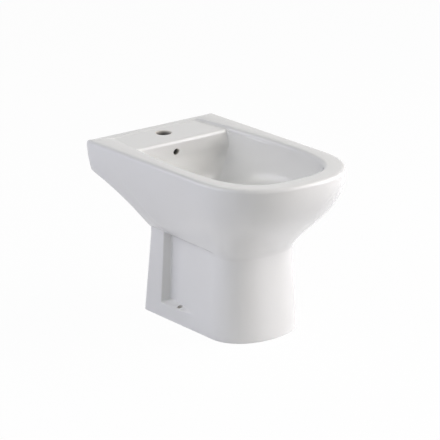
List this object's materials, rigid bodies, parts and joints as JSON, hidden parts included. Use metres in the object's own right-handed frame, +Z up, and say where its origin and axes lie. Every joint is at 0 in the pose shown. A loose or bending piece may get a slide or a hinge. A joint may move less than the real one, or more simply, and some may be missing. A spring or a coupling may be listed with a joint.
{
  "type": "floor-standing bidet",
  "caption": "Floor-standing glazed china bidet with an oval basin, a low rear deck with a tap hole, an overflow, a flared underside, side pockets in the pedestal and a click-clack waste.",
  "frame": {"origin": "middle of the footprint of the bounding box, at floor level", "axes": "+Z up, -Y towards the round front of the rim, +Y towards the wall, +X to the right of a person who stands in front and looks at the wall"},
  "size_m": [0.367, 0.585, 0.394],
  "materials": {
    "glaze": "white gloss glaze on vitreous china",
    "chrome": "polished chrome on brass",
    "rubber": "moulded seal",
    "white_plastic": "moulded acetal",
    "grey_plastic": "moulded acetal",
    "brass": "turned",
    "steel": "spring wire"
  },
  "bodies": {
    "china": {"china_body": "glaze", "waste_body": "chrome", "flange_seal": "rubber", "cone_seal": "rubber", "slip_washer": "white_plastic", "back_nut": "brass", "latch_housing": "white_plastic", "latch_cap": "grey_plastic", "latch_spring": "steel"},
    "plug": {"plug_stem": "brass", "plug_carrier": "grey_plastic", "plug_seal": "rubber", "plug_cap": "chrome"},
    "rotor": {"latch_rotor": "grey_plastic"}
  },
  "joints": [
    {"name": "plug_slide", "type": "slide", "parent": "china", "child": "plug", "axis": [0, 0, 1], "range_m": [0, 0.009], "deforming": ["latch_spring"]},
    {"name": "rotor_turn", "type": "hinge", "parent": "plug", "child": "rotor", "pos_m": [0, 0.02, 0.2292], "axis": [0, 0, 1], "range_deg": [0, 45]}
  ],
  "couplings": [
    {"joint": "rotor_turn", "follows": "plug_slide", "rad_per_m": 87.2}
  ]
}
